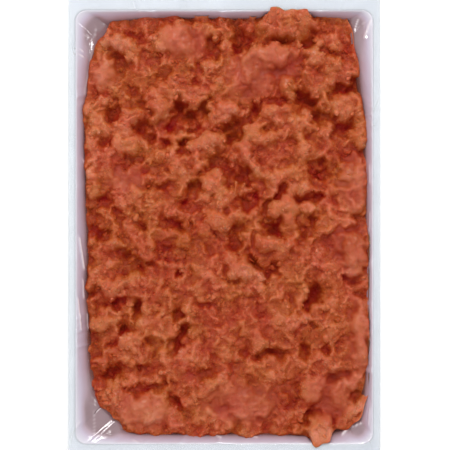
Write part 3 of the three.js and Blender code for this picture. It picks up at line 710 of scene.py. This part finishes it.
# The recess underneath: how far in each ring lies, its corner radius and its height.
recess, recess_corner, recess_z = np.array([(30, 5, 1), (9, 5, 1), (7.5, 6, 0)], float).T
under = rounded_ring(half_width - recess, half_length - recess, recess_corner, recess_z)
angle = np.radians(np.linspace(-90, -4, ARC_STEPS))
inset = TRAY["outer_draft"] + TRAY["outer_foot"] * (1 - np.cos(angle))
foot_z = TRAY["outer_foot"] * (1 + np.sin(angle))
foot = rounded_ring(half_width - inset, half_length - inset, np.full(ARC_STEPS, 8.0), foot_z)
wall = wall_rings(0, TRAY["height"] * 0.55)[::-1]
floor = rounded_ring([52], [92], [5], [TRAY["floor"]])
tray_points, tray_faces = lofted(np.concatenate([under, foot, wall, floor]))
tray = make_mesh("foam_tray", tray_points, tray_faces)

# %% [markdown]
# ## The film
#
# Thin film never lies flat. It follows the tray at a small gap, but where the roe stands back from the wall
# it is stretched like a tent from the lip down to the roe. It puckers along the walls, has narrow creases,
# and hangs outside in an uneven hem. A cloth simulation could drape it, but its folds would fall anywhere. So
# we lay a net over the tray's section, move it towards the nearest point of the roe's edge, and then move its
# points along their normals for the puckers and creases. The inner part and the part from the rim outwards
# become two pieces: layers of crumpled film on the inner walls look milky, and the single sheet over the rim
# looks clear.

# %% The film's net
HANG = 13  # how far the film hangs down outside
film_rings = wall_rings(GAP + 0.05, TRAY["height"] - HANG, corner_steps=24, side_steps=(150, 220))
# The rows of the inner wall are closer together near the lip.
up_wall = np.linspace(0, 1, 32)[1:-1, None, None] ** 0.6
inner_wall = mix(film_rings[ARC - 1][None], film_rings[ARC][None], up_wall)
outer_wall = mix(film_rings[-2][None], film_rings[-1][None], np.linspace(0, 1, 16)[1:, None, None])
net = np.concatenate([film_rings[:ARC], inner_wall, film_rings[ARC:-1], outer_wall])
LIP_ROW = ARC + len(inner_wall)  # the first row of the rim's inner lip
SEAM_ROW = LIP_ROW + 4  # the row half way over that lip, where the two pieces meet
inside = (np.arange(len(net)) < SEAM_ROW)[:, None]
steps = np.linalg.norm(np.roll(net[LIP_ROW], -1, 0) - net[LIP_ROW], axis=1)
run = np.concatenate([[0], np.cumsum(steps)[:-1]])[None]
section = net[:, 60]  # one column of the net, on a straight side
climb = np.cumsum(np.linalg.norm(np.diff(section, axis=0, prepend=section[:1]), axis=1))[:, None]
print("film net:", net.shape[:2], "and its size, mm:", np.round([run[0, -1], climb[-1, 0]]))


def outward_of(net):
    """The unit normal of a net at each point, from the cross product of its two directions."""
    around = np.roll(net, -1, 1) - np.roll(net, 1, 1)
    across = np.gradient(net, axis=0)
    normal = np.cross(across, around)
    return normal / (np.linalg.norm(normal, axis=2, keepdims=True) + 1e-9)


# %% The tent from the rim to the roe
# How far the film drops from the lip to the roe, and how far it goes past the roe's edge, so that no gap
# shows.
TENT_DROP, PAST_EDGE = 9, 0.3
roe_edge = top[rim][:, :2]
lip = net[LIP_ROW][:, :2]
gaps = np.sqrt(((lip[:, None] - roe_edge[None]) ** 2).sum(-1))
room = gaps.min(1)
toward = np.stack([blurred(np.stack([t, t]), 7)[0] for t in (roe_edge[gaps.argmin(1)] - lip).T], 1)
# Under the clumps that lie over the rim it stays at the wall.
toward *= (1 + PAST_EDGE / np.maximum(room, 1) - smooth_step(0, 0.4, over_rim(*lip.T)))[:, None]
drop = np.clip((TRAY["height"] - net[..., 2]) / TENT_DROP, 0, 3)
# Below the roe's edge the film goes back to the wall.
pull = np.minimum(drop, 1) * (1 - smooth_step(1.1, 2.4, drop)) * inside
print("the roe stands back from the lip by", np.round([room.min(), room.mean(), room.max()], 1), "mm")

# %% Puckers
z = net[..., 2]
upper = smooth_step(22, 28, z) * inside
lean = run + 0.5 * climb * noise(run, 0 * z, 30, 82)
pleat = np.maximum(0, noise(lean, climb * 0.06, 2.4, 83)) ** 2
pleat += 0.7 * np.maximum(0, noise(lean, climb * 0.1, 5, 84)) ** 2
where = smooth_step(-0.2, 0.5, noise(run, 0 * z, 17, 85))
free = mix(0.2, 1, upper) + 0.3 * smooth_step(26, 23, z) * ~inside
pucker = 0.6 * pleat * (0.25 + where) * np.clip(free, 0, 1)
print("highest pucker:", round(float(pucker.max()), 2), "mm")

# %% Creases
# Narrow creases that catch the light: from x, y to x, y, height, half width.
CREASES = [
    (-83, 97.5, -77.5, 96.5, 0.7, 0.6), (-83.5, 95, -77.5, 93.5, 0.8, 0.6),
    (-76.5, 105.5, -74, 104.5, 0.6, 0.6), (-70.5, 110, -77.4, 73, 0.5, 0.7),
    (-77.8, 37, -76.6, 34, 0.7, 0.7), (-79.2, -6, -77.2, -23, 0.9, 0.6), (-77.8, -29, -77.4, -39, 0.8, 0.5),
    (-80, -39, -78.6, -56, 0.8, 0.6), (-75.9, -48, -75.4, -56, 0.7, 0.6),
    (-71.8, -101, -71, -115, 0.4, 0.9), (-79, -106, -84, -114.5, 0.6, 0.8),
    (-70, -114.6, -64.5, -115, 0.6, 0.8), (-16, -108, -2, -116, 0.8, 0.8),
    (-50, -116.5, -47, -117.5, 0.6, 0.6), (-42, -119.5, -38, -120, 0.5, 0.6),
    (15, -115, 18, -115.6, 0.7, 0.6), (65, -114, 70, -109.5, 1.0, 0.8), (71, -110, 76, -107.5, 0.7, 0.7),
    (79.6, -99, 79, -108, 0.6, 0.6), (78.5, -116, 79.5, -117.5, 0.7, 0.6), (79.6, 34, 79.8, 24, 0.6, 0.6),
    (79.8, 8, 79.6, -4, 0.6, 0.5), (81, 56, 82, 55, 0.7, 0.7), (84, 70, 81, 62, 0.5, 0.7),
    (76, 125, 78.5, 120, 0.5, 0.8), (80, 113, 77, 104, 0.8, 1.0), (73.5, 114, 71.8, 108, 0.8, 0.7),
    (-49, 119.5, -46, 117.6, 0.6, 0.6), (-31, 121.5, -26, 120.6, 0.5, 0.6),
    (-22, 123, -21.4, 118, 0.5, 0.6), (63, 119.6, 65, 118, 0.5, 0.6),
]


def crease_heights(x, y):
    """How high the creases are at each place. Across a crease the height h follows the bell curve
    h exp(-(d / w)^2), where w is three quarters of the half width, and it fades out towards both ends."""
    lift = np.zeros(x.shape)
    for x0, y0, x1, y1, height, half_width in CREASES:
        length = math.hypot(x1 - x0, y1 - y0)
        along = ((x - x0) * (x1 - x0) + (y - y0) * (y1 - y0)) / length**2
        aside = np.abs((x - x0) * (y1 - y0) - (y - y0) * (x1 - x0)) / length
        beyond, before = 1.5 / length, 0.5 / length
        ends = smooth_step(-beyond, before, along) * smooth_step(1 + beyond, 1 - before, along)
        np.maximum(lift, height * ends * np.exp(-((aside / (0.75 * half_width)) ** 2)), out=lift)
    return lift


print(len(CREASES), "creases")


# %% Move the net
HEM = 2.4  # how far the hem goes up and down
turn = np.linspace(0, 2 * math.pi, net.shape[1], endpoint=False)[None]
hem = HEM * (0.6 * np.sin(4 * turn + 0.7) + 0.4 * np.sin(9 * turn + 2.1))
base = net.copy()
base[..., :2] += pull[..., None] * toward
crease = crease_heights(base[..., 0], base[..., 1]) * smooth_step(18, 24, z) * (z > 27 - 3 * inside)
net = base + outward_of(base) * ((pucker + 0.5 * crease) * smooth_step(4.5, 9, z))[..., None]
net[..., 2] += np.where(inside, 0, smooth_step(31, 23, z)) * hem
print("the hem hangs at", np.round([net[-1, :, 2].min(), net[-1, :, 2].max()], 1), "mm")
# Two values for the film's finish. Closeness to the roe goes from 0 at the lip to 1, and in the wide corners
# it is nearly even; it darkens the tint as painted shade and painted red light from the roe. The fold glint
# value is the crease's height squared, and half as strong on the rim; it paints the creases whiter, partly
# for the double sheet and partly as a painted glint.
closeness = mix(np.clip(1.15 * drop, 0, 1), 0.85 * smooth_step(0, 0.45, drop), smooth_step(5, 12, room))
fold = np.clip(crease / 0.8, 0, 1) ** 2 * mix(0.5, 1, smooth_step(0, 0.2, drop))

# %% The two pieces of film
SHEET = 0.06  # the film's thickness


def film_piece(name, rows):
    """A thin piece of film from some of the net's rings."""
    points, faces = lofted(net[rows][::-1], close_ends=False)
    piece = make_mesh(name, points, faces, closeness=closeness[rows][::-1], fold=fold[rows][::-1])
    thick = piece.modifiers.new("thickness", "SOLIDIFY")
    thick.thickness, thick.offset = SHEET * MM, 1
    return piece


lining = film_piece("film_lining", slice(0, SEAM_ROW + 1))
cover = film_piece("film_over_rim", slice(SEAM_ROW, None))

# %% [markdown]
# ## The roe's finish
#
# The roe is moist and a little see-through: light goes in, turns redder and comes out beside. Thin raised
# crumbs look pale orange and hollows look dark red, partly from that and partly from the shade that falls
# into the hollows. A painted texture could show that, but it would not fit the relief. So the colour follows
# the hollow value on the points, which paints shade into the hollows and light onto the raised crumbs, and
# noise in Object coordinates, which stays put in space, varies it. Where membrane holds the roe together the
# colour is pinker, and each egg is a small round bump.

# %% Helpers for node trees
def feed(socket, value):
    """Gives an input a value, or links the output of another node to it."""
    if isinstance(value, bpy.types.NodeSocket):
        socket.id_data.links.new(value, socket)
    else:
        socket.default_value = value


def fill(node, **values):
    """Sets a node's settings and feeds its inputs, all by name."""
    for key, value in values.items():
        if hasattr(node, key):
            setattr(node, key, value)
        else:
            feed(node.inputs[key.replace("_", " ")], value)
    return node


def add(nodes, kind, **values):
    """A new node, filled by name."""
    return fill(nodes.new(kind), **values)


def new_material(name):
    """A material with its nodes, its Principled shader and the Object coordinates for its patterns."""
    material = bpy.data.materials.new(name)
    material.use_nodes = True
    nodes = material.node_tree.nodes
    return material, nodes, nodes["Principled BSDF"], add(nodes, "ShaderNodeTexCoord").outputs["Object"]


# %% Helpers that each give the output of a node
def point_value(nodes, name):
    """A value that is kept on the points of the mesh."""
    return add(nodes, "ShaderNodeAttribute", attribute_name=name).outputs["Fac"]


def texture(nodes, place, scale, detail, **values):
    """Noise with about as many waves to the metre as the scale says."""
    return add(nodes, "ShaderNodeTexNoise", Vector=place, Scale=scale, Detail=detail, **values).outputs["Fac"]


def weighted_sum(nodes, *terms, plus=0.0):
    """Adds up outputs, each times its weight, and a number."""
    for output, weight in terms:
        step = add(nodes, "ShaderNodeMath", operation="MULTIPLY_ADD")
        for socket, value in zip(step.inputs, (output, weight, plus)):
            feed(socket, value)
        plus = step.outputs[0]
    return plus


def rescaled(nodes, value, start, end):
    """A value moved from the range start to the range end, and kept within it."""
    node = add(nodes, "ShaderNodeMapRange", Value=value, From_Min=start[0], From_Max=start[1],
               To_Min=end[0], To_Max=end[1])
    return node.outputs["Result"]


def ramp(nodes, share, stops):
    """The colour at a share of the way along a row of stops, which are places and colours."""
    node = add(nodes, "ShaderNodeValToRGB", Fac=share)
    elements = node.color_ramp.elements
    while len(elements) < len(stops):
        elements.new(0.5)
    for element, (place, colour) in zip(elements, stops):
        element.position, element.color = place, (*colour, 1)
    return node.outputs["Color"]


def blend(nodes, share, first, second):
    """The colour a share of the way from the first to the second."""
    node = add(nodes, "ShaderNodeMix", data_type="RGBA", Factor=share)
    # The node has sockets of several types under the same names. These are the ones for colours.
    feed(node.inputs[6], first)
    feed(node.inputs[7], second)
    return node.outputs[2]


def bump(nodes, height, strength, distance):
    """Normals tilted by a height, of which 1 stands for the distance in metres."""
    return add(nodes, "ShaderNodeBump", Height=height, Strength=strength, Distance=distance).outputs["Normal"]


def srgb(r, g, b):
    """A colour from its 8 bit screen values to the linear values that a shader takes: of each share c of full
    it takes ((c + 0.055) / 1.055)^2.4, or c / 12.92 where c is dark."""
    return tuple(((c / 255 + 0.055) / 1.055) ** 2.4 if c > 10.3 else c / 255 / 12.92 for c in (r, g, b))


# %% The roe's finish
# The colours from hollow to raised, of loose eggs and of roe that membrane holds together. The dark red end
# is painted shade for the hollows and the pale end painted light for raised places.
EGG_COLOURS = [(0.0, srgb(142, 24, 0)), (0.3, srgb(152, 45, 6)), (0.55, srgb(173, 73, 29)),
               (0.78, srgb(195, 102, 64)), (1.0, srgb(212, 130, 100))]
MEMBRANE_COLOURS = [(0.0, srgb(124, 20, 8)), (0.5, srgb(164, 68, 46)), (1.0, srgb(194, 112, 88))]


def roe_material(name, depth, lighter=0.0, shine=0.32):
    """Moist roe. Colour: a level that is a weighted sum of the hollow value, two noises and the tone goes
    through a ramp, a third noise turns the hue a little, and a pinker ramp takes over where the roe is
    smooth. Through the hollow value the colour carries painted shade in the hollows and painted light on
    raised places, and through the tone painted shade and light beside real stains. Bump: a round boss for
    each egg."""
    material, nodes, shader, place = new_material(name)
    hollow, tone, smoothness = (point_value(nodes, key) for key in ("hollow", "tone", "smoothness"))
    patch = texture(nodes, place, 70.0, 3.0, Roughness=0.6)
    fine = texture(nodes, place, 420.0, 3.0, Roughness=0.65)
    # The hollow value lowers the level: painted shade in the hollows and painted light on raised places.
    level = weighted_sum(nodes, (hollow, -0.42), (patch, 0.45), (fine, 0.14), (tone, 0.12),
                         plus=0.155 + lighter)
    eggs, membrane = (ramp(nodes, level, colours) for colours in (EGG_COLOURS, MEMBRANE_COLOURS))
    hue = rescaled(nodes, texture(nodes, place, 85.0, 2.0), (0.3, 0.7), (0.494, 0.508))
    turned = add(nodes, "ShaderNodeHueSaturation", Hue=hue, Color=eggs).outputs["Color"]
    held = weighted_sum(nodes, (smoothness, 0.45))
    boss = add(nodes, "ShaderNodeTexVoronoi", Vector=place, Scale=1050.0, feature="SMOOTH_F1", Smoothness=1.0)
    fill(shader, Base_Color=blend(nodes, held, turned, membrane),
         Normal=bump(nodes, boss.outputs["Distance"], strength=0.35, distance=-0.0003),
         Roughness=weighted_sum(nodes, (fine, 0.3), (hollow, 0.25), plus=shine), Specular_IOR_Level=0.22,
         Subsurface_Weight=0.8, Subsurface_Radius=(1.0, 0.4, 0.2), Subsurface_Scale=depth)
    return material


mass_finish = roe_material("moist_roe", depth=0.0015)
crumb_finish = roe_material("moist_crumb", depth=0.001)
pale_finish = roe_material("pale_egg", depth=0.001, lighter=0.05, shine=0.25)
print("finishes of the roe:", [finish.name for finish in (mass_finish, crumb_finish, pale_finish)])

# %% [markdown]
# ## The foam's finish
#
# Expanded foam is a mass of white beads pressed together, with a soft satin skin. The beads could be
# modelled, but their seams are a tenth of a millimetre deep, so bump is enough. Light goes a centimetre into
# foam, and it is that glow that makes it look light and not like plaster.

# %% The foam's finish
def foam_material():
    """White expanded foam: beads 3 mm across that show as faint cells, under a soft satin skin."""
    material, nodes, shader, place = new_material("white_foam")
    bead = add(nodes, "ShaderNodeTexVoronoi", Vector=place, Scale=330.0, feature="DISTANCE_TO_EDGE")
    seam = rescaled(nodes, bead.outputs["Distance"], (0, 0.08), (0, 1))
    cloud = texture(nodes, place, 60.0, 4.0)
    fill(shader, Base_Color=ramp(nodes, cloud, [(0.35, srgb(209, 212, 221)), (0.65, srgb(217, 220, 229))]),
         Normal=bump(nodes, seam, strength=0.25, distance=0.0002),
         Roughness=rescaled(nodes, cloud, (0, 1), (0.42, 0.6)),
         Subsurface_Weight=0.9, Subsurface_Radius=(1.0, 1.0, 1.0), Subsurface_Scale=0.009)
    return material


# %% [markdown]
# ## The film's finish
#
# Clear film is seen by its glints and by what it takes up from behind it. Real refraction in so thin a sheet
# costs time and shows nothing, so the film is partly see-through by its alpha. Its tint runs from lilac white
# at the lip to a reddish brown where it touches the roe, which is painted shade and painted red light thrown
# up from the roe. Creases are whiter and denser, partly because the sheet lies double there and partly as a
# painted glint along them.

# %% The film's finish
def film_material(name, colours, alpha):
    """Film with a sharp gloss. The closeness value picks the tint from a row of colours, which darkens
    towards the roe as painted shade and painted red light, the fold glint value makes it whiter and denser,
    partly for the double sheet and partly as a painted glint, and crinkles too fine for the net are bump."""
    material, nodes, shader, place = new_material(name)
    closeness, fold = (point_value(nodes, key) for key in ("closeness", "fold"))
    tint = ramp(nodes, closeness, [(k / (len(colours) - 1), colour) for k, colour in enumerate(colours)])
    crinkle = texture(nodes, place, 160.0, 3.0, Distortion=1.5)
    # The near white along the creases is partly a painted glint.
    fill(shader, Base_Color=blend(nodes, fold, tint, (*srgb(250, 238, 242), 1)),
         Alpha=rescaled(nodes, fold, (0, 1), (alpha, mix(alpha, 1, 0.7))),
         Normal=bump(nodes, crinkle, strength=0.5, distance=0.0006),
         Roughness=rescaled(nodes, crinkle, (0, 1), (0.05, 0.16)),
         Specular_IOR_Level=1.0, Coat_Weight=1.0, Coat_Roughness=0.12)
    return material


# From the lip to the roe the tint darkens: painted shade in the gap by the roe, and painted red light thrown
# from it.
LIP_TO_ROE = [srgb(242, 238, 248), srgb(226, 212, 232), srgb(206, 180, 192), srgb(124, 84, 78)]
lining_finish = film_material("film_on_walls", LIP_TO_ROE, alpha=0.66)
cover_finish = film_material("film_over_rim", [srgb(236, 244, 246)] * 2, alpha=0.15)
print("finishes of the film:", lining_finish.name, cover_finish.name)

# %% [markdown]
# ## Which node each piece stands for
#
# Each piece takes the place of a node of the imported model, which is hidden, and gets a finish of its own.
# All of them ride on the root body, because nothing here moves. They could be joined into one object per
# node, but apart they are easier to look at and each can have its own finish.

# %% Give each piece its finish and its body
for piece in roe_pieces:
    finish = {mass: mass_finish, pale_eggs: pale_finish}.get(piece, crumb_finish)
    piece.data.materials.append(finish)
    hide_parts("roe")
tray.data.materials.append(foam_material())
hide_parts("tray")
for piece, finish in ((lining, lining_finish), (cover, cover_finish)):
    piece.data.materials.append(finish)
    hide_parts("film")
for piece in [*roe_pieces, tray, lining, cover]:
    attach(piece, "root")
    print(piece.name, "has the finish", piece.data.materials[0].name)

# %% [markdown]
# ## Floor, light and camera
#
# The tray stands on a pale floor. A lamp stands beyond its head, high up, so that the far side of each clump
# is lit and its near side falls a little into shade. One lamp alone would make the shadows black, so a large
# lamp overhead and a pale sky fill them, and a small lamp on either side gives the creases of the film their
# glints. The camera looks straight down from 60 cm over the rim.

# %% Floor
def floor_material():
    """A matt white board with a faint mottle."""
    material, nodes, shader, place = new_material("pale_floor")
    cloud = texture(nodes, place, 6.0, 3.0)
    tint = ramp(nodes, cloud, [(0.3, (0.93, 0.93, 0.93)), (0.7, (0.96, 0.96, 0.96))])
    fill(shader, Base_Color=tint, Roughness=0.9, Emission_Color=(1, 1, 1, 1), Emission_Strength=0.12)
    return material


FLOOR_HALF, FLOOR_LEVEL = 1500, -0.1
signs = np.array([(-1, -1), (1, -1), (1, 1), (-1, 1)])
floor_corners = np.column_stack([FLOOR_HALF * signs, np.full(4, FLOOR_LEVEL)])
ground = make_mesh("floor", floor_corners, np.array([[0, 1, 2, 3]]), smooth=False)
ground.data.materials.append(floor_material())

# %% Light
def area_lamp(name, place, size, power):
    """A square lamp at a place in metres that faces the origin."""
    data = bpy.data.lights.new(name, "AREA")
    data.energy, data.size = power, size
    lamp = bpy.data.objects.new(name, data)
    lamp.location = place
    x, y, z = place
    lamp.rotation_euler = (math.acos(z / math.hypot(x, y, z)), 0, math.atan2(-y, -x) - math.pi / 2)
    bpy.context.scene.collection.objects.link(lamp)


area_lamp("key", (0.1, 0.75, 0.85), size=0.3, power=4.9)
area_lamp("overhead", (-0.3, -0.05, 1.1), size=0.8, power=3.1)
for side in (-1, 1):
    area_lamp(f"sparkle_{side + 2}", (0.85 * side, 0.05, 0.6), size=0.04, power=0.4)
world = bpy.data.worlds.new("studio")
world.use_nodes = True
fill(world.node_tree.nodes["Background"], Color=(1, 1, 1, 1), Strength=0.65)
bpy.context.scene.world = world
bpy.context.scene.view_settings.view_transform = "Standard"

# %% Camera
# How wide the view is at the rim, how high over the rim the camera stands, and over which x and y.
VIEW_WIDTH, HEIGHT_OVER_RIM = 245.25, 600
OVER_X, OVER_Y = 0.41, 1.2
SENSOR = 36
data = bpy.data.cameras.new("camera")
data.sensor_width = SENSOR
data.lens = SENSOR * HEIGHT_OVER_RIM / VIEW_WIDTH
data.clip_start, data.clip_end = 0.01, 20
camera = bpy.data.objects.new("camera", data)
camera.location = (OVER_X * MM, OVER_Y * MM, (TRAY["height"] + HEIGHT_OVER_RIM) * MM)
bpy.context.scene.collection.objects.link(camera)
bpy.context.scene.camera = camera
print("lens:", round(data.lens, 1), "mm, camera at a height of", round(camera.location.z, 3), "m")

# %% [markdown]
# ## The last step
#
# Last, the scene is brought up to date.

# %% Finish
bpy.context.view_layer.update()
